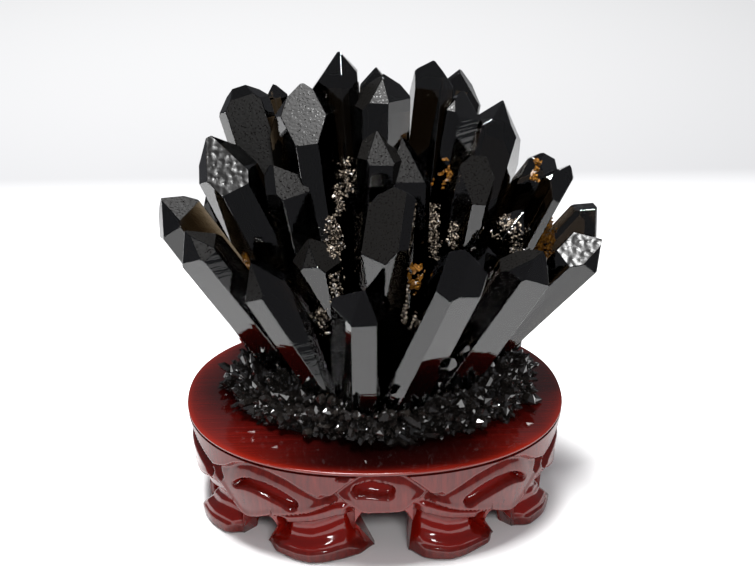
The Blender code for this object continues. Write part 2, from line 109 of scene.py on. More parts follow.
# Each large crystal: name, (x, y) at CRYSTAL_LEVEL, tip (x, y, z), width across its sides, turn in degrees,
# how far below the tip each of its six end faces crosses the axis, and how far each of its six
# sides stands out beyond half the width. All in millimetres.
CRYSTALS = (
    ("tall_left_back", (-19.9, 12.6), (-56.7, 48.4, 175.1), 20.1, 30,
     (2, 11.3, 2.8, 0, 0.5, 0.2), (-1.7, -1.5, 0, 1.1, -2.4, 0.2)),
    ("tall_left_middle", (-13.4, 3.1), (-30.5, 24.7, 181.6), 27.1, 146,
     (4.2, 1.2, 5.6, 0, 1.3, 2.7), (3, -2.5, 3, -0.4, 1.1, -1.6)),
    ("tallest", (-7.5, 11.8), (-15.1, 34.3, 193.6), 20.1, 357,
     (2.7, 7.7, 8.4, 6.8, 3, 0), (-1.4, 0.4, 0.5, 0.6, -1.4, 0.8)),
    ("back_behind_tallest", (-0.9, 18), (2.1, 63.3, 174), 11.5, 43,
     (0.2, 2, 3.4, 1.1, 0, 0), (-0.4, 0, -1.3, 1.7, -1.9, -1)),
    ("upper_middle", (2.3, 8.3), (5.1, 24.8, 186.2), 22.4, 18,
     (1.4, 7.5, 0.6, 2.9, 0, 2.8), (-1.5, 0.1, 0.5, 0.7, 0.7, -2.1)),
    ("tall_right_middle", (11.1, 10.8), (26.8, 47.7, 183.4), 18.6, 4,
     (2.4, 2.1, 2.4, 0.1, 5, 0), (-0.7, 0.4, 3, -2.4, -0.9, 2.5)),
    ("back_right_behind", (17.5, 17.2), (43.4, 62.3, 176.1), 13.8, 38,
     (0.4, 4.9, 3.1, 0, 1.2, 8.3), (-0.6, 0.6, -1.2, 1.5, -2.2, 1.6)),
    ("upper_right", (19.1, 7.5), (40.5, 38.7, 172.5), 17.6, 6,
     (4.3, 1.8, 1, 1.4, 0, 6), (2.2, 0.1, -1.4, -0.6, 1.1, -2.2)),
    ("upper_right_outer", (23.4, 4.3), (61.1, 46.2, 166.6), 22.4, 39,
     (10.8, 7.4, 2.2, 0.6, 3.2, 8.3), (3, 0.1, -1.1, 2.9, -1.8, -2.5)),
    ("right_shoulder_back", (27.3, 3.8), (76.9, 31.7, 146.4), 17.4, 3,
     (0, 0.6, 4.9, 0, 0, 3.7), (-0.4, 0, 3, -1.4, -1.9, 0.8)),
    ("right_shoulder", (34.2, 2.3), (79.9, 10.3, 149.4), 16.1, 43,
     (0, 0.8, 5.1, 1, 3.5, 0.1), (1.7, -1.2, -2.5, -0.3, 2.3, -2.4)),
    ("right_side_back", (31.8, 3.5), (98.3, 14.4, 130.9), 16.6, 10,
     (9.6, 4, 4, 4, 0, 3.5), (-0.1, 0.3, -1.3, -0.4, -1.9, 1.8)),
    ("far_right", (34.1, -1.6), (95, -5.2, 124.7), 17.4, 39,
     (0.8, 4.3, 1.5, 9.9, 5.6, 3.6), (0.1, -0.4, -0.5, 0.1, 0, 0.9)),
    ("right_front", (24.8, -20.3), (65.5, -26.2, 127.3), 18.7, 53,
     (2.8, 0, 4.2, 0.2, 1.6, 0), (-0.2, -0.3, 0.7, 1.6, -0.4, 0.8)),
    ("front_right", (7.6, -28.6), (37.3, -46.1, 139.2), 21.6, 52,
     (9.6, 5.4, 0.2, 4.4, 4.6, 1.4), (0.4, 3, -2.5, 3, 1.1, -2)),
    ("middle_right", (25.2, -8), (43.6, -2.7, 160.4), 14.5, 41,
     (0.5, 1.4, 0.4, 0.2, 11.4, 2.8), (-2.5, -0.7, 0.2, 0.1, 1.6, -0.9)),
    ("middle", (-1.5, -11.5), (3.5, 12.3, 167.6), 18.7, 38,
     (2.7, 4.9, 0, 3.2, 5.4, 7.5), (1.9, -0.3, -2.1, 1.4, 1.2, -1.2)),
    ("middle_behind", (8.5, -2.5), (11.5, 13.9, 160.9), 19.4, 98,
     (0, 2.1, 5.5, 6.4, 4.1, 0), (1.4, 1.3, 0.7, 0.8, 3, -2.5)),
    ("middle_front", (2.3, -16.5), (6, -27.9, 157.3), 22.3, 348,
     (0, 1, 0.7, 4.2, 15.6, 9.1), (-2.5, -1.4, 0, -1.1, 1, 1.7)),
    ("middle_left", (-20.5, -6.9), (-39.9, 5.6, 154.3), 17.6, 356,
     (0, 4.4, 0, 0.2, 4.1, 6.4), (2.2, -0.6, 0.3, -2.5, -0.8, -0.4)),
    ("left_shoulder", (-19.3, 3.6), (-70.4, 27.1, 159.6), 23.8, 91,
     (0.5, 1.7, 7.5, 11.3, 7.3, 2), (0.1, -1.6, -1.1, 1.9, 1.4, -1.5)),
    ("far_left", (-34, 3.3), (-87.7, 10.7, 138.1), 19.4, 21,
     (0.2, 4, 0, 2, 2.1, 4.5), (0.5, -1.1, -2.2, 1.7, 0.9, -2.3)),
    ("left_side", (-30.3, -6.7), (-77, -13.8, 131.8), 18.6, 359,
     (2, 1.6, 2.3, 2.6, 2.3, 0.1), (-1.2, 2, 1.2, -0.5, -1.5, 1.3)),
    ("front_left", (-15.7, -25.3), (-53.2, -24.5, 123.9), 17.9, 356,
     (3, 0.2, 0, 6.2, 6.3, 4.3), (1.7, -2.2, -0.2, -1.4, -0.7, -0.5)),
    ("front_middle", (-6.7, -32.2), (-7.4, -46.3, 125.3), 21.2, 30,
     (0.7, 9.2, 0.2, 5.1, 3, 2.7), (-0.7, 0.3, 0.5, -1.7, 0.4, -0.2)),
    ("tall_left_between", (-17, 16), (-42, 56, 169), 11, 0,
     (0, 1, 0, 2, 0, 1), (0, 0, 0, 0, 0, 0)),
    ("front_needle", (22, -24), (34, -43, 94), 5, 0,
     (0, 2, 0, 3, 0, 1), (0, 0, 0, 0, 0, 0)),
    ("front_pale_point", (18, -27), (28, -46, 89), 7, 10,
     (0, 1, 0, 2, 0, 1), (0, 0, 0, 0, 0, 0)),
    ("left_dark_body", (-14, -12), (-26, -14, 128), 17, 20,
     (0, 2, 0, 1, 0, 3), (0, 0, 0, 0, 0, 0)),
    ("left_inner_body", (-22, -4), (-30, -4, 112), 15, 0,
     (0, 1, 0, 2, 0, 1), (0, 0, 0, 0, 0, 0)),
    ("right_dark_body", (22, -10), (46, -18, 124), 15, 10,
     (0, 2, 0, 1, 0, 3), (0, 0, 0, 0, 0, 0)),
    ("right_inner_body", (30, 0), (62, 6, 130), 14, 30,
     (0, 2, 0, 1, 0, 1), (0, 0, 0, 0, 0, 0)),
    ("rear_far_left", (-30, 12), (-70, 40, 134), 18, 5,
     (0, 1, 0, 2, 0, 1), (0, 0, 0, 0, 0, 0)),
    ("rear_left", (-20, 20), (-44, 55, 141), 19, 15,
     (0, 2, 0, 1, 0, 1), (0, 0, 0, 0, 0, 0)),
    ("rear_left_low", (-12, 25), (-24, 60, 120), 20, 25,
     (0, 1, 2, 0, 0, 1), (0, 0, 0, 0, 0, 0)),
    ("rear_middle", (0, 25), (-4, 61, 146), 21, 0,
     (1, 0, 0, 2, 0, 1), (0, 0, 0, 0, 0, 0)),
    ("rear_middle_low", (8, 28), (16, 60, 112), 18, 10,
     (0, 1, 0, 2, 1, 0), (0, 0, 0, 0, 0, 0)),
    ("rear_right", (16, 22), (32, 60, 140), 20, 20,
     (0, 0, 2, 0, 1, 0), (0, 0, 0, 0, 0, 0)),
    ("rear_right_low", (28, 22), (58, 55, 118), 19, 0,
     (0, 1, 0, 2, 0, 1), (0, 0, 0, 0, 0, 0)),
    ("rear_far_right", (36, 14), (76, 38, 131), 17, 10,
     (1, 0, 2, 0, 0, 1), (0, 0, 0, 0, 0, 0)),
    ("rear_left_side_low", (-34, 16), (-66, 44, 104), 17, 0,
     (0, 1, 0, 0, 2, 0), (0, 0, 0, 0, 0, 0)),
)


def smooth_step(value):
    value = min(1.0, max(0.0, value))
    return value * value * (3 - 2 * value)


# Materials

def hex_colour(code):
    """Linear colour from an sRGB hex code."""
    values = [int(code[k:k + 2], 16) / 255 for k in (0, 2, 4)]
    return tuple(v / 12.92 if v <= 0.04045 else ((v + 0.055) / 1.055) ** 2.4 for v in values) + (1.0,)


def add_node(tree, kind, inputs=None, **settings):
    """Adds a shader node, sets it up, and fills each input with a value or another node's output."""
    made = tree.nodes.new("ShaderNode" + kind)
    for name, value in settings.items():
        setattr(made, name, value)
    for name, value in (inputs or {}).items():
        if isinstance(value, bpy.types.NodeSocket):
            tree.links.new(value, made.inputs[name])
        else:
            made.inputs[name].default_value = value
    return made


def new_material(name):
    material = bpy.data.materials.new(name)
    material.use_nodes = True
    tree = material.node_tree
    tree.nodes.clear()
    return material, tree, add_node(tree, "OutputMaterial")


def colour_ramp(tree, value, stops):
    """A colour ramp over value through (position, hex) stops."""
    ramp = add_node(tree, "ValToRGB", {"Fac": value})
    elements = ramp.color_ramp.elements
    while len(elements) > 1:
        elements.remove(elements[-1])
    for index, (position, code) in enumerate(stops):
        element = elements[0] if index == 0 else elements.new(position)
        element.position = position
        element.color = hex_colour(code)
    return ramp.outputs["Color"]


def quartz_material(name, roughness, wave_mm, cell_mm=1.0, cell_height=0.0, striped=False, clear=1.0,
                    shine=0.5, body="0B0A09"):
    """Smoky quartz. Clear 1 is glass, so dark inside that only thin edges let light through; clear 0 is
    opaque, for etched faces and small points."""
    material, tree, output = new_material(name)
    place = add_node(tree, "TexCoord").outputs["Object"]
    waves = add_node(tree, "TexNoise", {"Vector": place, "Scale": 120.0, "Detail": 2.0})
    normal = add_node(tree, "Bump", {"Strength": 0.4, "Distance": wave_mm * MM,
                                     "Height": waves.outputs["Fac"]})
    if cell_height:
        bent = add_node(tree, "TexNoise", {"Vector": place, "Scale": 300.0, "Detail": 2.0})
        moved = add_node(tree, "MixRGB", {"Fac": 0.0016, "Color1": place, "Color2": bent.outputs["Color"]},
                         blend_type="ADD")
        cells = add_node(tree, "TexVoronoi", {"Vector": moved.outputs["Color"],
                                              "Scale": 1.0 / (cell_mm * MM)}, feature="SMOOTH_F1")
        normal = add_node(tree, "Bump", {"Strength": 1.0, "Distance": cell_height * MM,
                                         "Height": cells.outputs["Distance"],
                                         "Normal": normal.outputs["Normal"]})
    # Fine growth lines that run level across the sides
    if striped:
        stretched = add_node(tree, "Mapping", {"Vector": place, "Scale": (25, 25, 420)}).outputs["Vector"]
        bands = add_node(tree, "TexNoise", {"Vector": stretched, "Scale": 1.0, "Detail": 2.0})
        normal = add_node(tree, "Bump", {"Strength": 0.5, "Distance": 0.12 * MM,
                                         "Height": bands.outputs["Fac"], "Normal": normal.outputs["Normal"]})
    shader = add_node(tree, "BsdfPrincipled", {
        "Base Color": hex_colour("FFFFFF" if clear == 1.0 else body), "Roughness": roughness,
        "IOR": QUARTZ_IOR, "Transmission Weight": clear, "Specular IOR Level": shine,
        "Normal": normal.outputs["Normal"]})
    # Dull faces glint in specks where the smooth stone still shows
    if shine < 0.3:
        specks = add_node(tree, "TexNoise", {"Vector": place, "Scale": 1300.0, "Detail": 1.0})
        rough = add_node(tree, "MapRange", {"Value": specks.outputs["Fac"], "From Min": 0.60,
                                            "From Max": 0.66, "To Min": roughness, "To Max": 0.08})
        tree.links.new(rough.outputs["Result"], shader.inputs["Roughness"])
    inside = add_node(tree, "VolumeAbsorption", {"Color": hex_colour("9A8A6A"), "Density": 450.0})
    tree.links.new(shader.outputs["BSDF"], output.inputs["Surface"])
    tree.links.new(inside.outputs["Volume"], output.inputs["Volume"])
    return material


def lacquer_material(name, grain_scale, dark, middle, bright, hollows_and_shade, gloss):
    """Red-brown stained wood under glossy lacquer, orange where edges are rubbed and along painted
    highlights, and a second colour set by an attribute: deep red stain in the skirt's hollows, and painted
    shade with a painted reflection of the stone over the board's front.
    """
    material, tree, output = new_material(name)
    place = add_node(tree, "TexCoord").outputs["Object"]
    stretched = add_node(tree, "Mapping", {"Vector": place, "Scale": grain_scale}).outputs["Vector"]
    grain = add_node(tree, "TexNoise", {"Vector": stretched, "Scale": 1.0, "Detail": 6.0, "Roughness": 0.7})
    colour = colour_ramp(tree, grain.outputs["Fac"], ((0.25, dark), (0.5, middle), (0.8, bright)))
    # Second colour: deep red stain in the skirt's hollows; on the board, painted shade and painted
    # reflection of the stone
    stain_and_shade = add_node(tree, "Attribute", attribute_name="stain_and_shade").outputs["Fac"]
    deep = add_node(tree, "MixRGB", {"Fac": stain_and_shade, "Color1": colour, "Color2": hex_colour(hollows_and_shade)})
    # Orange where edges are rubbed, with painted highlights along the board's rim and the skirt's carved
    # lines
    wear_and_highlight = add_node(tree, "Attribute", attribute_name="wear_and_highlight").outputs["Fac"]
    worn_and_highlit = add_node(tree, "MixRGB", {"Fac": wear_and_highlight, "Color1": deep.outputs["Color"],
                                     "Color2": hex_colour("7A1A0C")})
    waves = add_node(tree, "TexNoise", {"Vector": place, "Scale": 140.0, "Detail": 2.0})
    bump = add_node(tree, "Bump", {"Strength": 0.25, "Distance": 0.4 * MM, "Height": waves.outputs["Fac"]})
    pores = add_node(tree, "Bump", {"Strength": 0.12, "Distance": 0.08 * MM, "Height": grain.outputs["Fac"],
                                    "Normal": bump.outputs["Normal"]})
    shader = add_node(tree, "BsdfPrincipled", {
        "Base Color": worn_and_highlit.outputs["Color"], "Roughness": 0.45, "Specular IOR Level": 0.0,
        "Coat Weight": gloss, "Coat Roughness": 0.09, "Coat IOR": LACQUER_IOR,
        "Normal": pores.outputs["Normal"], "Coat Normal": bump.outputs["Normal"]})
    tree.links.new(shader.outputs["BSDF"], output.inputs["Surface"])
    return material


# Mesh helpers

def new_object(name, bm, *materials):
    mesh = bpy.data.meshes.new(name)
    bm.to_mesh(mesh)
    bm.free()
    for material in materials:
        mesh.materials.append(material)
    made = bpy.data.objects.new(name, mesh)
    bpy.context.scene.collection.objects.link(made)
    return made


def hand_in(piece, node):
    """Puts the piece on the root body and hides the frame node that it stands for."""
    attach(piece, "root")
    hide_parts(node)


# Stand

def point_at_bearing(bearing, inset):
    """The point of the board's oval seen from its middle at a bearing, moved straight inwards."""
    angle = math.radians(bearing - 90.0)
    c, s = math.cos(angle), math.sin(angle)
    reach = (abs(2 * c / BOARD_LENGTH) ** BOARD_CURVE + abs(2 * s / BOARD_DEPTH) ** BOARD_CURVE) ** (
        -1 / BOARD_CURVE
    )
    x, y = c * reach, s * reach
    slope_x = math.copysign(abs(2 * x / BOARD_LENGTH) ** (BOARD_CURVE - 1) / BOARD_LENGTH, x)
    slope_y = math.copysign(abs(2 * y / BOARD_DEPTH) ** (BOARD_CURVE - 1) / BOARD_DEPTH, y)
    size = math.hypot(slope_x, slope_y)
    return x - inset * slope_x / size, y - inset * slope_y / size


# How far one degree of bearing reaches along the skirt, taken the same all round
MM_PER_DEGREE = 1.22
# Carving of the skirt: points as (bearing from the front or back in degrees, height in millimetres)
ARCH_LINE = (
    (0, 48.5), (8, 46.2), (13, 41.5), (18, 36), (22, 35), (27, 38), (33, 42), (40, 44.6), (46, 45),
    (51, 43), (56, 38.5), (61, 36.2), (66, 39), (73, 43), (80, 45), (90, 45.6))
LIP_LINE = (
    (0, 28.2), (5, 28.3), (8, 29.2), (10, 31.6), (12, 33.6), (16, 33), (21, 29.5), (26, 26.6), (32, 24.4),
    (38.5, 22), (44, 18.8), (48, 16.4), (51, 17.2), (54, 22), (57, 26.5), (61, 28.4), (66, 27), (73, 23.5),
    (82, 21), (90, 20.5))
# Scooped pockets: points as (bearing, height, half width)
CENTRE_POCKET = ((-8.2, 38.4, 2.6), (-4.5, 39.3, 3.4), (-1, 38.9, 3.5), (2.2, 38.0, 3.2))
CORNER_POCKET = (
    (31.6, 29.4, 3.0), (35, 31.6, 3.5), (40, 33.6, 3.5), (45, 34.6, 3.0), (49, 33.6, 2.3), (52, 31.2, 1.3))
SIDE_POCKET = ((64.5, 30.2, 2.0), (68, 34.0, 3.4), (73, 37.2, 4.6), (80, 38.6, 5.0), (90, 39.0, 5.0))
FRONT_VALLEY = ((14.0, 33.0, 1.6), (17.0, 34.2, 2.4), (20.5, 35.0, 1.8))
OUTER_VALLEY = ((59.0, 31.0, 1.5), (62.0, 34.0, 1.8))
SEAM_DENT = ((-15.2, 45.0, 0.9), (-12.4, 45.4, 1.3))
# Feet as bearings from the front: where the waist starts and ends, then where the floor edge does
FRONT_LEFT_FOOT = (10.0, 38.5, 2.0, 45.5)
FRONT_RIGHT_FOOT = (12.0, 39.5, 11.5, 47.8)
OUTER_FOOT = (54.0, 79.0, 57.0, 82.0)
# How high the skirt's open gaps are at the front and back, corners and sides, by bearing
GAP_HEIGHTS = {0: 28.2, 45: 17.5, 90: 21.0, 135: 17.5}
# Above this height all columns of the skirt share their rows
EVEN_ABOVE = 30.0
# How far inside the board's outline the foot's rim stands on the floor, by bearing
FOOT_REACH = (
    (0, 15.5), (4, 14), (9, 11.5), (14, 8.6), (20, 5.4), (26, 3.6), (31, 4.2), (37, 6.2), (43, 7.6),
    (48, 8.6), (52, 6.5), (57, 5.6), (61, 4.4), (68, 3.0), (76, 3.0), (83, 4.2), (90, 6))
# How deep the scooped pockets are cut, in millimetres
CENTRE_DEPTH, CORNER_DEPTH, SIDE_DEPTH = 5.4, 6.0, 6.4
VALLEY_DEPTH, OUTER_VALLEY_DEPTH, DENT_DEPTH = 1.9, 1.6, 3.5


def smooth_table(points):
    """A rounded curve through (place, height) points, held as a fine table over the quarter turn."""
    places = np.arange(-12.0, 102.01, 0.25)
    mirrored = [(-x, y) for x, y in points[1:6]] + list(points) + [(180 - x, y) for x, y in points[-6:-1]]
    mirrored.sort()
    heights = np.interp(places, [p[0] for p in mirrored], [p[1] for p in mirrored])
    spread = np.exp(-np.linspace(-2.5, 2.5, 17) ** 2 / 2)
    padded = np.pad(heights, 8, mode="edge")
    return places, np.convolve(padded, spread / spread.sum(), mode="valid")


CURVES = {name: smooth_table(points) for name, points in
          (("arch", ARCH_LINE), ("lip", LIP_LINE), ("reach", FOOT_REACH))}


def curve(name, bearing):
    """Reads one of the rounded curves at a folded bearing."""
    return float(np.interp(bearing, *CURVES[name]))


def feet_round_the_stand():
    """The eight feet in order of bearing, each as (waist start, waist end, floor start, floor end)."""
    def mirrored(foot, turn):
        return turn - foot[1], turn - foot[0], turn - foot[3], turn - foot[2]
    return [FRONT_RIGHT_FOOT, OUTER_FOOT, mirrored(OUTER_FOOT, 180), mirrored(FRONT_RIGHT_FOOT, 180),
            tuple(180 + v for v in FRONT_LEFT_FOOT), tuple(180 + v for v in OUTER_FOOT),
            mirrored(OUTER_FOOT, 360), mirrored(FRONT_LEFT_FOOT, 360)]


def fold_bearing(bearing):
    """The bearing from the nearest of front and back, which the carving repeats from."""
    bearing = abs((bearing + 180) % 360 - 180)
    return 180 - bearing if bearing > 90 else bearing


def signed_bearing(bearing):
    """Like fold_bearing, but below zero left of the middle, for the one motif that is off centre."""
    bearing = (bearing + 180) % 360 - 180
    if abs(bearing) > 90:
        bearing = math.copysign(180, bearing) - bearing
    return bearing


def rounded_path(points):
    """A stroke resampled along a smooth curve, with distances along the face in millimetres."""
    places = np.linspace(0, len(points) - 1, 6 * len(points))
    rows = np.array(points, float)
    fine = np.array([np.interp(places, range(len(points)), rows[:, k]) for k in range(3)]).T
    for _ in range(10):
        fine[1:-1] = (fine[:-2] + 2 * fine[1:-1] + fine[2:]) / 4
    fine[:, 0] *= MM_PER_DEGREE
    return fine


def gouge(bearing, height, path, depth):
    """A scooped pocket along a stroke: steep under its upper edge, shallow towards the lower one."""
    away = np.hypot(path[:, 0] - bearing * MM_PER_DEGREE, path[:, 1] - height)
    k = int(np.argmin(away - path[:, 2]))
    room = path[k, 2] - away[k]
    if room <= -0.5:
        return 0.0
    above = (height - path[k, 1]) / path[k, 2]
    inside = smooth_step((room + 0.5) / (1.3 if above > 0 else 2.6))
    return depth * inside * (0.75 + 0.25 * max(-1.0, min(1.0, above)))


PATHS = {name: rounded_path(points) for name, points in (
    ("centre", CENTRE_POCKET), ("corner", CORNER_POCKET), ("side", SIDE_POCKET), ("dent", SEAM_DENT),
    ("valley", FRONT_VALLEY), ("outer_valley", OUTER_VALLEY))}


def pocket_depth(bearing, height):
    """How deep the scooped pockets are at a place on the skirt."""
    b, signed = fold_bearing(bearing), signed_bearing(bearing)
    return max(gouge(signed, height, PATHS["centre"], CENTRE_DEPTH),
               gouge(b, height, PATHS["corner"], CORNER_DEPTH),
               gouge(b, height, PATHS["side"], SIDE_DEPTH))


def carved_inset(bearing, height, on_foot):
    """How far the carved face lies inside the board's outline, in millimetres."""
    b = fold_bearing(bearing)
    lip, arch = curve("lip", b), curve("arch", b)
    inset = 0.25 + 3.0 * smooth_step((39 - height) / 27) ** 1.3
    below = arch - height
    if below > -1.6:
        inset += 2.6 * smooth_step((below + 1.2) / 3.0) * math.exp(-max(0.0, below - 1.8) / 4.5)
        inset += 0.5 * smooth_step((below + 1.2) / 3.0) - 0.35 * math.exp(-((below + 1.2) / 0.9) ** 2)
    if height > lip - 2.5:
        inset += pocket_depth(bearing, height)
        inset += gouge(b, height, PATHS["valley"], VALLEY_DEPTH)
        inset += gouge(b, height, PATHS["outer_valley"], OUTER_VALLEY_DEPTH)
        inset -= 0.5 * math.exp(-((height - lip - 1.3) / 1.5) ** 2)
    if (bearing + 180) % 360 < 180:
        inset += gouge((bearing + 180) % 360 - 180, height, PATHS["dent"], DENT_DEPTH)
    under = smooth_step((lip - height + 0.5) / 1.4)
    if under and not on_foot:
        inset += 3.6 * under
    if under and on_foot:
        reach = curve("reach", b)
        part = max(0.0, height / max(lip, 8.0))
        neck, waist = inset + 3.4, max(inset + 6.2, reach + 6.0)
        shape = (
            (0.0, reach + 0.9), (0.05, reach + 0.2), (0.17, reach), (0.24, reach + 1.2),
            (0.42, reach + 4.6), (0.56, waist), (0.66, waist - 0.3), (0.76, neck - 0.6),
            (0.86, neck - 0.9), (0.93, neck + 0.8), (1.0, neck))
        carved = 0.0
        for (p0, v0), (p1, v1) in zip(shape, shape[1:]):
            if p0 <= part <= p1:
                carved = v0 + (v1 - v0) * smooth_step((part - p0) / (p1 - p0))
        inset += (carved - inset) * under
    return max(inset, 0.15)


def skirt_columns():
    """Columns round the skirt: bearing, underside height, and the foot that carries it or None."""
    feet = feet_round_the_stand()
    columns = []
    for foot, following in zip(feet, feet[1:] + [tuple(v + 360 for v in feet[0])]):
        steps = int((foot[1] - foot[0]) * 2.6)
        columns += [(foot[0] + (foot[1] - foot[0]) * k / steps, 0.0, foot) for k in range(steps + 1)]
        start, end = foot[1] + 0.4, following[0] - 0.4
        middle = (start + end) / 2
        height = GAP_HEIGHTS[round(middle / 45) * 45 % 180]
        steps = int((end - start) * 2.6)
        for k in range(steps + 1):
            bearing = start + (end - start) * k / steps
            edge = abs(2 * k / steps - 1)
            bottom = height * (1 - 0.30 * edge ** 4)
            lip = curve("lip", fold_bearing(bearing))
            columns.append((bearing, min(bottom, lip - 0.2), None))
    return columns


def turned_on_floor(bearing, height, foot):
    """The bearing of a foot's point: the toes on the floor spread wider than the waist above them."""
    waist_start, waist_end, floor_start, floor_end = foot
    part = (bearing - waist_start) / (waist_end - waist_start)
    on_floor = floor_start + part * (floor_end - floor_start)
    return bearing + (on_floor - bearing) * smooth_step(1 - (height - 1.0) / 9.0) ** 1.3


def row_heights(bottom):
    """Heights of the rows of one column: all columns share those above the lips."""
    lower = [bottom + (EVEN_ABOVE - bottom) * k / 54 for k in range(54)]
    return lower + [EVEN_ABOVE + (SKIRT_TOP - EVEN_ABOVE) * k / 26 for k in range(27)]


def carved_skirt(lacquer):
    """The skirt with its arches, pockets, hanging lips and curled feet carved in relief."""
    inner_rows = 7
    bm = bmesh.new()
    stain_and_shade = bm.verts.layers.float.new("stain_and_shade")
    wear_and_highlight = bm.verts.layers.float.new("wear_and_highlight")
    loops = []
    for bearing, bottom, foot in skirt_columns():
        loop = []
        side = 0.0
        if foot:
            side = 3.6 * smooth_step(1 - min(bearing - foot[0], foot[1] - bearing) / 4.5)
        for height in row_heights(bottom):
            turned = turned_on_floor(bearing, height, foot) if foot else bearing
            inset = carved_inset(turned, height, foot is not None)
            b = fold_bearing(turned)
            lip, arch = curve("lip", b), curve("arch", b)
            inset += 0.8 * smooth_step(1 - (height - bottom) / 1.3)
            inset += side * smooth_step((lip - 1 - height) / 5)
            x, y = point_at_bearing(turned, inset)
            vert = bm.verts.new((x * MM, y * MM, height * MM))
            vert[stain_and_shade] = stained_depth(turned, height, foot is not None)
            # Rubbed wear and painted highlight: thin orange lines just above the lips' lower edges and the
            # arch lines
            vert[wear_and_highlight] = 0.3 * math.exp(-((height - lip - 0.5) / 0.5) ** 2) + 0.4 * math.exp(
                -((height - arch - 0.2) / 0.5) ** 2)
            loop.append(vert)
        for row in range(inner_rows):
            part = 1 - row / (inner_rows - 1)
            height = bottom + (SKIRT_TOP - bottom) * part
            turned = turned_on_floor(bearing, height, foot) if foot else bearing
            reach = curve("reach", fold_bearing(turned)) if foot else 0.0
            x, y = point_at_bearing(turned, max(SKIRT_WALL + 3 + 6 * (1 - part), (reach + 8) * (1 - part)))
            vert = bm.verts.new((x * MM, y * MM, height * MM))
            vert[stain_and_shade] = 1.0
            loop.append(vert)
        loops.append(loop)
    for index, loop in enumerate(loops):
        after = loops[(index + 1) % len(loops)]
        for k in range(len(loop)):
            n = (k + 1) % len(loop)
            bm.faces.new((loop[k], after[k], after[n], loop[n]))
    bmesh.ops.recalc_face_normals(bm, faces=bm.faces)
    for face in bm.faces:
        face.smooth = True
    bmesh.ops.translate(bm, verts=bm.verts, vec=STAND_MIDDLE)
    skirt = new_object("carved_skirt", bm, lacquer)
    skirt.data.set_sharp_from_angle(angle=math.radians(70))
    return skirt


def stained_depth(bearing, height, on_foot):
    """0 on the flat lips, 1 in the stained hollows: what colours the lacquer."""
    depth = pocket_depth(bearing, height) / 4.4
    lip = curve("lip", fold_bearing(bearing))
    if on_foot:
        part = height / max(lip, 8.0)
        depth = max(depth, smooth_step((part - 0.17) / 0.1) * smooth_step((0.66 - part) / 0.1))
    if not on_foot or height > 0.85 * lip:
        depth = max(depth, 0.7 * smooth_step(lip - height + 0.2))
    return min(1.0, depth)


def oval_board(lacquer):
    """The oval top with a softly rounded rim."""
    steps = 240
    rings = [(BOARD_BOTTOM, 1.6), (BOARD_BOTTOM, 1.0), (BOARD_BOTTOM + 0.5, 0.4), (BOARD_TOP - 0.6, 0.05)]
    rings += [(BOARD_TOP - 0.5 + 0.5 * math.sin(a), 0.5 * (1 - math.cos(a)))
              for a in (0.4, 0.8, 1.2, 1.5708)]
    rings += [(BOARD_TOP, inset) for inset in (2.5, 4, 6, 9, 13, 18, 24, 32, 42, 54)]
    bm = bmesh.new()
    wear_and_highlight = bm.verts.layers.float.new("wear_and_highlight")
    stain_and_shade = bm.verts.layers.float.new("stain_and_shade")
    loops = []
    for height, inset in rings:
        loop = []
        for k in range(steps):
            x, y = point_at_bearing(360 * k / steps, inset)
            vert = bm.verts.new((x * MM, y * MM, height * MM))
            front = smooth_step((60 - abs((360 * k / steps + 180) % 360 - 180)) / 45)
            # Rubbed wear and painted highlight: orange along the rim and in a band inward of it, weaker over
            # the front
            if height > BOARD_TOP - 1.0:
                vert[wear_and_highlight] = 0.3 * (1 - 0.9 * front) * math.exp(-inset / 7) + 0.5 * math.exp(-inset / 1.0)
            # Painted shade and painted reflection of the stone: the board's front, inward of the rim, takes
            # the near-black colour
            vert[stain_and_shade] = front * smooth_step((inset - 0.5) / 5)
            loop.append(vert)
        loops.append(loop)
    for lower, upper in zip(loops, loops[1:]):
        for k in range(steps):
            n = (k + 1) % steps
            bm.faces.new((lower[k], lower[n], upper[n], upper[k]))
    bm.faces.new(loops[0])
    bm.faces.new(loops[-1])
    bmesh.ops.recalc_face_normals(bm, faces=bm.faces)
    for face in bm.faces:
        face.smooth = len(face.verts) == 4
    bmesh.ops.translate(bm, verts=bm.verts, vec=STAND_MIDDLE)
    return new_object("oval_board", bm, lacquer)


# Stone

# The four quartz finishes, by their place among the stone's materials
PRISM, PYRAMID, ETCHED, DULL = 0, 1, 2, 3
# Faces hammered or dulled by natural etching: 0 to 5 are the end faces, 6 to 11 the sides
ETCHED_FACES = {"left_shoulder": (3,), "far_right": (3,)}
DULL_FACES = {
    "tall_left_back": (10,), "tall_left_middle": (2,), "upper_middle": (3, 4), "upper_right": (4,),
    "right_front": (2,), "middle_right": (4,), "middle": (3, 4, 5), "middle_behind": (3,),
    "middle_front": (4,), "middle_left": (5,), "far_left": (5,), "left_side": (5, 0), "front_left": (4,),
    "left_dark_body": (0, 1, 2, 3, 4, 5),
}


def cut_flat(bm, point, normal, finish):
    """Cuts off what lies beyond a plane and closes the cut with one face of the given finish."""
    geometry = bm.verts[:] + bm.edges[:] + bm.faces[:]
    cut = bmesh.ops.bisect_plane(
        bm, geom=geometry, dist=1e-7, plane_co=point, plane_no=normal, clear_outer=True
    )
    edges = [item for item in cut["geom_cut"] if isinstance(item, bmesh.types.BMEdge) and item.is_boundary]
    if edges:
        for face in bmesh.ops.edgeloop_fill(bm, edges=edges)["faces"]:
            face.material_index = finish


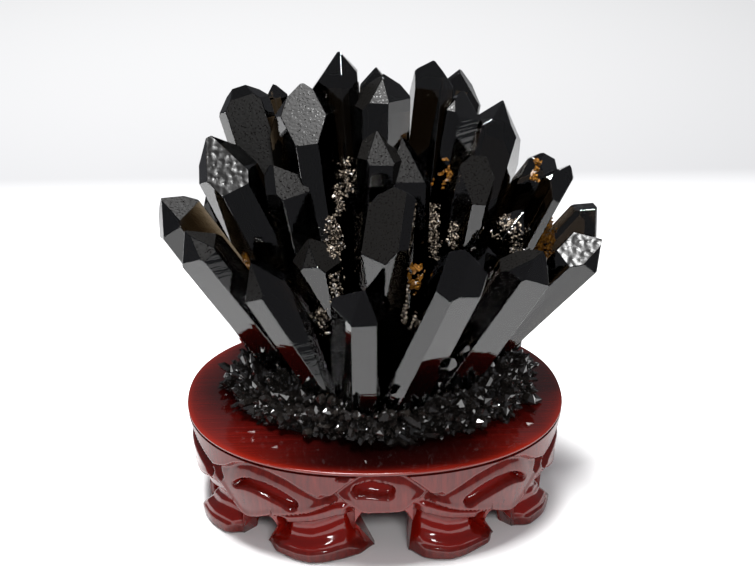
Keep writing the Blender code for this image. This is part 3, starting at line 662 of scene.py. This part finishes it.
def solid_between(flats):
    """The convex solid inside all the given flats (outward direction, a point on it, finish)."""
    outward = np.array([flat[0] for flat in flats])
    level = np.array([flat[0].dot(flat[1]) for flat in flats])
    triples = np.array(list(itertools.combinations(range(len(flats)), 3)))
    meeting = abs(np.linalg.det(outward[triples])) > 1e-3
    triples = triples[meeting]
    places = np.linalg.solve(outward[triples], level[triples][..., None])[..., 0]
    places = places[(places @ outward.T <= level + 1e-6).all(axis=1)]
    corners = []
    for place in places:
        if all(np.linalg.norm(place - other) > 2e-5 for other in corners):
            corners.append(place)
    bm = bmesh.new()
    verts = [bm.verts.new(tuple(corner)) for corner in corners]
    for (normal, point, finish), reach in zip(flats, level):
        held = [vert for vert in verts if abs(vert.co.dot(normal) - reach) < 2e-5]
        if len(held) < 3:
            continue
        middle = sum((vert.co for vert in held), Vector()) / len(held)
        first = (held[0].co - middle).normalized()
        second = normal.cross(first)
        held.sort(key=lambda vert: math.atan2((vert.co - middle).dot(second), (vert.co - middle).dot(first)))
        bm.faces.new(held).material_index = finish
    return bm


def foot_in_crust(foot, tip, width):
    """The foot of a large crystal, moved down its axis until it starts just above the stone's flat base."""
    foot, tip = Vector((*foot, CRYSTAL_LEVEL)), Vector(tip)
    axis = (tip - foot).normalized()
    lean = math.hypot(axis.x, axis.y)
    widest_corner = (width / 2 + WIDEST_PAD) * CORNER_REACH
    start = STONE_FOOT + CRYSTAL_START + widest_corner * lean
    return foot - axis * (foot.z - start) / axis.z


def crystal_solid(foot, tip, width, turn, lows, pads, finishes, edge=0.22):
    """A six-sided prism from foot to tip ended by six sloping faces, with slightly worn edges."""
    foot, tip = Vector(foot) * MM, Vector(tip) * MM
    axis = (tip - foot).normalized()
    side = (Vector((1, 0, 0)) - axis * axis.x).normalized()
    across = axis.cross(side)
    flats = [(-axis, foot, PRISM)]
    for face in range(6):
        angle = math.radians(60 * face + turn)
        out = side * math.cos(angle) + across * math.sin(angle)
        flats.append((out, foot + out * (width / 2 + pads[face]) * MM, finishes.get(face + 6, PRISM)))
        slope = out * math.sin(PYRAMID_SLOPE) + axis * math.cos(PYRAMID_SLOPE)
        flats.append((slope, tip - axis * lows[face] * MM, finishes.get(face, PYRAMID)))
    bm = solid_between(flats)
    if edge:
        bmesh.ops.recalc_face_normals(bm, faces=bm.faces)
        bmesh.ops.bevel(bm, geom=bm.edges[:], offset=edge * MM, segments=1, affect="EDGES",
                        clamp_overlap=True)
    bmesh.ops.recalc_face_normals(bm, faces=bm.faces)
    return bm


def crust_solid():
    """The low rough dome that every crystal grows from, flat underneath."""
    bm = bmesh.new()
    bmesh.ops.create_icosphere(bm, subdivisions=4, radius=1.0)
    for vert in bm.verts:
        lump = 0.95 + 0.10 * noise.noise(vert.co * 3.0) + 0.05 * noise.noise(vert.co * 9.0)
        level, height = math.hypot(vert.co.x, vert.co.y), abs(vert.co.z)
        steep = (level ** CRUST_CURVE + height ** CRUST_CURVE) ** (-1 / CRUST_CURVE)
        x, y, z = vert.co * lump * steep
        vert.co = (
            (CRUST_MIDDLE[0] + x * CRUST_SIZE[0]) * MM,
            (CRUST_MIDDLE[1] + y * CRUST_SIZE[1]) * MM,
            (STONE_FOOT - 2.0 + z * CRUST_SIZE[2]) * MM,
        )
    cut_flat(bm, Vector((0, 0, STONE_FOOT * MM)), Vector((0, 0, -1)), ETCHED)
    for face in bm.faces:
        face.material_index = ETCHED
    bmesh.ops.recalc_face_normals(bm, faces=bm.faces)
    return bm


def large_crystals(materials):
    """The crust and the large crystals, joined in one solid."""
    grown = bpy.data.collections.new("grown")
    bpy.context.scene.collection.children.link(grown)
    for name, foot, tip, width, turn, lows, pads in CRYSTALS:
        start = foot_in_crust(foot, tip, width)
        finishes = dict.fromkeys(DULL_FACES.get(name, ()), DULL)
        finishes.update(dict.fromkeys(ETCHED_FACES.get(name, ()), ETCHED))
        solid = crystal_solid(start, tip, width, turn, lows, pads, finishes)
        bmesh.ops.triangulate(solid, faces=solid.faces)
        piece = new_object(name, solid, *materials)
        bpy.context.scene.collection.objects.unlink(piece)
        grown.objects.link(piece)
    stone = new_object("large_crystals", crust_solid(), *materials)
    join = stone.modifiers.new("grown_together", "BOOLEAN")
    join.operation = "UNION"
    join.solver = "EXACT"
    join.operand_type = "COLLECTION"
    join.collection = grown
    graph = bpy.context.evaluated_depsgraph_get()
    joined = bpy.data.meshes.new_from_object(stone.evaluated_get(graph))
    stone.modifiers.clear()
    stone.data = joined
    for piece in list(grown.objects):
        bpy.data.objects.remove(piece, do_unlink=True)
    bpy.data.collections.remove(grown)
    bm = bmesh.new()
    bm.from_mesh(joined)
    keep_outer_skin(bm)
    bmesh.ops.translate(bm, verts=bm.verts, vec=STAND_MIDDLE)
    bm.to_mesh(joined)
    bm.free()
    return stone


def keep_outer_skin(bm):
    """Keeps only the outermost skin of the stone: pockets sealed between crystals are solid quartz."""
    bmesh.ops.remove_doubles(bm, verts=bm.verts, dist=2e-6)
    left, skins = set(bm.faces), []
    while left:
        edge_faces, skin = [left.pop()], []
        while edge_faces:
            face = edge_faces.pop()
            skin.append(face)
            for near in {other for edge in face.edges for other in edge.link_faces} & left:
                left.discard(near)
                edge_faces.append(near)
        skins.append(skin)
    skins.sort(key=len)
    inner = [face for skin in skins[:-1] for face in skin]
    bmesh.ops.delete(bm, geom=inner, context="FACES")


def points_round_the_foot(bm, surface, rng):
    """Small points grown on whatever stands outermost low down: the crust's side or a crystal's base."""
    for _ in range(FOOT_POINTS):
        angle = rng.uniform(0, 2 * math.pi)
        outward = Vector((math.cos(angle), math.sin(angle), 0))
        start = Vector((*CRUST_MIDDLE, rng.uniform(STONE_FOOT + 1, STONE_FOOT + 15))) + outward * 100
        found, normal, _, _ = surface.ray_cast(start * MM + STAND_MIDDLE, -outward)
        if found is None or found.z < STONE_FOOT * MM:
            continue
        place = (found - STAND_MIDDLE) / MM
        lean = Vector([rng.gauss(0, 0.5) for _ in range(3)])
        axis = (normal * 0.8 + outward * 0.3 + Vector((0, 0, 0.35)) + lean).normalized()
        length = rng.choice((3.5, 4.5, 6.0, 8.0, 10.0)) * rng.uniform(0.8, 1.1)
        add_small_point(bm, place - axis * 1.5, axis, length, length * rng.uniform(0.25, 0.5), rng)


def surface_of(piece):
    """The piece's faces, ready for finding the nearest place or what a line meets."""
    mesh = piece.data
    return BVHTree.FromPolygons([v.co[:] for v in mesh.vertices], [p.vertices[:] for p in mesh.polygons])


def druse(stone, materials):
    """The thousands of small points that cover the crust."""
    rng = random.Random(11)
    bm = bmesh.new()
    points_round_the_foot(bm, surface_of(stone), rng)
    for index in range(DRUSE_POINTS):
        angle = rng.uniform(0, 2 * math.pi)
        tall, broad = index % 4 == 0, index % 9 == 1
        before_crystals = index % 8 == 0 and math.sin(angle) < -0.2
        rise = math.asin(rng.uniform(0.15, 0.65) if tall else rng.uniform(0.02, 0.95))
        if before_crystals:
            rise = math.asin(rng.uniform(0.70, 0.97))
        level, height = math.cos(rise) ** (2 / CRUST_CURVE), math.sin(rise) ** (2 / CRUST_CURVE)
        slope = level ** (CRUST_CURVE - 1)
        normal = Vector((math.cos(angle) * slope / CRUST_SIZE[0],
                         math.sin(angle) * slope / CRUST_SIZE[1],
                         height ** (CRUST_CURVE - 1) / CRUST_SIZE[2])).normalized()
        place = Vector((CRUST_MIDDLE[0] + math.cos(angle) * level * CRUST_SIZE[0] * 0.93,
                        CRUST_MIDDLE[1] + math.sin(angle) * level * CRUST_SIZE[1] * 0.93,
                        STONE_FOOT - 1.0 + height * CRUST_SIZE[2] * 0.93))
        lean = Vector((rng.gauss(0, 0.7), rng.gauss(0, 0.7), rng.gauss(0, 0.5)))
        axis = (normal + lean).normalized()
        if axis.dot(normal) < 0.1:
            axis = normal
        length = rng.uniform(6.0, 12.0) if tall else rng.uniform(2.5, 7.5)
        width = length * (rng.uniform(0.16, 0.34) if tall else rng.uniform(0.25, 0.55))
        if broad:
            length, width = rng.uniform(5.0, 9.0), rng.uniform(2.8, 4.8)
        if before_crystals:
            axis = (normal + 0.5 * lean + Vector((0, 0, 0.5))).normalized()
            length, width = rng.uniform(8.0, 13.0), rng.uniform(2.0, 4.6)
        add_small_point(bm, place - axis * 1.5, axis, length, width, rng)
    bmesh.ops.translate(bm, verts=bm.verts, vec=STAND_MIDDLE)
    bmesh.ops.recalc_face_normals(bm, faces=bm.faces)
    return new_object("druse_points", bm, *materials)


# Where crumbs sit between the crystals: middle (x, y, z), spread, how many, and 0 for pale or 1 for amber
CRUMB_PATCHES = (
    ((-11, 14, 141), 4.5, 26, 0), ((-14, 6, 134), 3.5, 22, 0), ((-17, -1, 122), 5.0, 40, 0),
    ((-16, -10, 114), 5.0, 46, 0), ((-17, -19, 107), 3.5, 20, 0), ((24, 16, 121), 4.0, 26, 0),
    ((24, 14, 115), 4.0, 24, 0), ((25, 11, 109), 3.5, 16, 0), ((31, -9, 124), 3.0, 16, 0),
    ((53, 2, 123), 4.0, 18, 0), ((58, -1, 118), 4.0, 16, 0), ((11, -30, 107), 3.0, 22, 0),
    ((11, -32, 101), 3.0, 22, 0), ((-22, -21, 93), 3.5, 14, 0), ((30, 20, 139), 3.5, 10, 1),
    ((-53, 8, 106), 2.5, 10, 1), ((72, 9, 114), 4.5, 60, 1), ((69, 23, 139), 3.0, 12, 1),
    ((17, -5, 103), 4.0, 12, 1),
)

# Crumbs stand in upright strips, thick with small pale ones and with fewer, larger amber ones
CRUMB_SPREAD = (0.7, 0.9, 1.7)
CRUMB_FILL = (5, 2)
CRUMB_SIZE = (1.0, 2.0)


def crumb_material(name, dark, pale):
    """Rough broken quartz grains, brown with pale specks set by noise: partly pale grains, partly painted
    highlights where light catches them.
    """
    material, tree, output = new_material(name)
    place = add_node(tree, "TexCoord").outputs["Object"]
    spots = add_node(tree, "TexNoise", {"Vector": place, "Scale": 1200.0, "Detail": 3.0})
    colour = colour_ramp(tree, spots.outputs["Fac"], ((0.50, dark), (0.64, pale)))
    shader = add_node(tree, "BsdfPrincipled", {"Base Color": colour, "Roughness": 0.25, "IOR": QUARTZ_IOR})
    tree.links.new(shader.outputs["BSDF"], output.inputs["Surface"])
    return material


def crumbs(stone):
    """Small broken grains that stick to the large crystals deep between them."""
    rng = random.Random(5)
    bm = bmesh.new()
    surface = surface_of(stone)
    for middle, spread, count, finish in CRUMB_PATCHES:
        for _ in range(count * CRUMB_FILL[finish]):
            wanted = Vector(middle)
            wanted += Vector([rng.uniform(-share, share) * spread for share in CRUMB_SPREAD])
            place = surface.find_nearest(wanted * MM + STAND_MIDDLE)[0]
            size = rng.choice((0.25, 0.3, 0.4, 0.5, 0.8)) * CRUMB_SIZE[finish]
            grain = bmesh.ops.create_cube(bm, size=1.5)["verts"]
            stretch = Vector([rng.uniform(0.35, 1.3) for _ in range(3)])
            turned = Euler([rng.uniform(0, math.pi) for _ in range(3)]).to_matrix()
            for vert in grain:
                shape = vert.co * stretch + Vector([rng.uniform(-0.35, 0.35) for _ in range(3)])
                vert.co = place + turned @ shape * size * MM
            for face in {face for vert in grain for face in vert.link_faces}:
                face.material_index = finish
    bmesh.ops.triangulate(bm, faces=bm.faces)
    bmesh.ops.recalc_face_normals(bm, faces=bm.faces)
    return new_object("crumbs", bm, crumb_material("pale_crumbs", "1E1610", "C2B3A0"),
                      crumb_material("amber_crumbs", "5A390F", "A06E2A"))


def add_small_point(bm, foot, axis, length, width, rng):
    """One short six-sided point with a pyramid end."""
    side = axis.orthogonal().normalized()
    across = axis.cross(side)
    turn = rng.uniform(0, 1.0)
    reach = width / 2
    low, high = [], []
    for k in range(6):
        angle = math.radians(60 * k) + turn
        out = (side * math.cos(angle) + across * math.sin(angle)) * reach * rng.uniform(0.85, 1.1)
        low.append(bm.verts.new(tuple((foot + out) * MM)))
        top = length - reach * rng.uniform(0.8, 1.6)
        high.append(bm.verts.new(tuple((foot + out * 0.95 + axis * top) * MM)))
    tip_off = (side * rng.uniform(-0.4, 0.4) + across * rng.uniform(-0.4, 0.4)) * reach
    tip = bm.verts.new(tuple((foot + axis * length + tip_off) * MM))
    for k in range(6):
        n = (k + 1) % 6
        bm.faces.new((low[k], low[n], high[n], high[k]))
        bm.faces.new((high[k], high[n], tip))
    bm.faces.new(low[::-1])


# Stage

def stage():
    """A wide pale sheet that lies flat under the stand, duller some way behind it."""
    bm = bmesh.new()
    corners = ((-SHEET_SIDE, SHEET_FRONT), (SHEET_SIDE, SHEET_FRONT),
               (SHEET_SIDE, SHEET_BACK), (-SHEET_SIDE, SHEET_BACK))
    bm.faces.new([bm.verts.new((x, y, 0)) for x, y in corners])
    material, tree, output = new_material("pale_paper")
    place = add_node(tree, "TexCoord").outputs["Object"]
    behind = add_node(tree, "SeparateXYZ", {"Vector": place}).outputs["Y"]
    colour = colour_ramp(tree, behind, ((0.22, "F2F2F2"), (0.38, SHEET_FAR[0]), (0.90, SHEET_FAR[1])))
    fibres = add_node(tree, "TexNoise", {"Vector": place, "Scale": 900.0})
    bump = add_node(tree, "Bump", {"Strength": 0.1, "Distance": 0.0001, "Height": fibres.outputs["Fac"]})
    shader = add_node(tree, "BsdfPrincipled", {
        "Base Color": colour, "Roughness": 0.9, "Specular IOR Level": 0.1, "Normal": bump.outputs["Normal"]})
    tree.links.new(shader.outputs["BSDF"], output.inputs["Surface"])
    new_object("pale_sheet", bm, material)


def area_light(name, place, target, size, power):
    """A flat white lamp. It isn't seen through the quartz, where it would show only as scattered specks."""
    data = bpy.data.lights.new(name, "AREA")
    data.shape = "RECTANGLE"
    data.size, data.size_y = size
    data.energy = power
    light = bpy.data.objects.new(name, data)
    light.location = place
    light.rotation_euler = (Vector(target) - Vector(place)).to_track_quat("-Z", "Y").to_euler()
    light.visible_transmission = False
    bpy.context.scene.collection.objects.link(light)


def lights():
    world = bpy.data.worlds.new("dim_room")
    world.use_nodes = True
    world.node_tree.nodes["Background"].inputs["Color"].default_value = hex_colour("F4F6FF")
    world.node_tree.nodes["Background"].inputs["Strength"].default_value = 0.22
    bpy.context.scene.world = world
    # A broad lamp above and a little to the left, then a small one beside the view for sparkle in hollows
    area_light("overhead", (-0.13, -0.02, 1.35), (-0.05, 0, 0.1), (0.6, 0.43), 46)
    area_light("beside_view", (0.03, -0.52, 0.40), (0, 0, 0.08), (0.14, 0.07), 1.3)


def camera():
    """The photograph's view: from the front, looking down a little on the stone."""
    head = Vector((math.sin(VIEW_TURN), math.cos(VIEW_TURN), 0))
    right = Vector((math.cos(VIEW_TURN), -math.sin(VIEW_TURN), 0))
    place = Vector((0, 0, BOARD_TOP)) - head * VIEW_DISTANCE * math.cos(VIEW_HEIGHT)
    place += Vector((0, 0, VIEW_DISTANCE * math.sin(VIEW_HEIGHT))) + right * VIEW_SIDE
    data = bpy.data.cameras.new("view")
    data.lens = LENS
    data.sensor_width = 36.0
    made = bpy.data.objects.new("view", data)
    made.location = place * MM + STAND_MIDDLE
    aim = head * math.cos(VIEW_PITCH) - Vector((0, 0, math.sin(VIEW_PITCH)))
    made.rotation_euler = aim.to_track_quat("-Z", "Y").to_euler()
    bpy.context.scene.collection.objects.link(made)
    bpy.context.scene.camera = made


def main():
    bpy.context.scene.view_settings.view_transform = "Standard"
    quartz = (
        # Polished growth sides with faint level lines, which mirror the room in long grey panes
        quartz_material("quartz_sides", roughness=0.02, wave_mm=0.05, striped=True),
        # Polished end faces, the blackest of all
        quartz_material("quartz_ends", roughness=0.015, wave_mm=0.06),
        # Hammered faces that glitter in a silvery way, and the crust between the points
        quartz_material("quartz_etched", roughness=0.34, wave_mm=0.15, cell_mm=2.4, cell_height=0.55,
                        clear=0.0, shine=0.45),
        # Dull grey faces with a fine pitted grain
        quartz_material("quartz_dull", roughness=0.42, wave_mm=0.20, cell_mm=1.1, cell_height=0.06,
                        clear=0.0, shine=0.12),
    )
    # Small glossy points that sparkle against their own dark sides
    points = quartz_material("quartz_points", roughness=0.05, wave_mm=0.05, clear=0.0, shine=0.85,
                             body="1C1917")
    # Nearly flat gloss over grain that runs along the board, with a near-black colour painted over its front
    # as shade and reflection of the stone
    board_lacquer = lacquer_material("lacquered_board", (30, 900, 900), "240403", "3A0706", "500C08",
                                     hollows_and_shade="100202", gloss=0.8)
    board = oval_board(board_lacquer)
    hand_in(board, "stand_board")
    # Thick gloss that pools red in the pockets, over grain that stands upright
    skirt_lacquer = lacquer_material("lacquered_skirt", (500, 500, 60), "3C0B09", "54130F", "6A1C14",
                                     hollows_and_shade="6A0C05", gloss=0.82)
    skirt = carved_skirt(skirt_lacquer)
    hand_in(skirt, "stand_skirt")
    stone = large_crystals(quartz)
    for piece in (stone, druse(stone, (points,)), crumbs(stone)):
        hand_in(piece, "quartz_cluster")
    stage()
    lights()
    camera()


main()
bpy.context.view_layer.update()
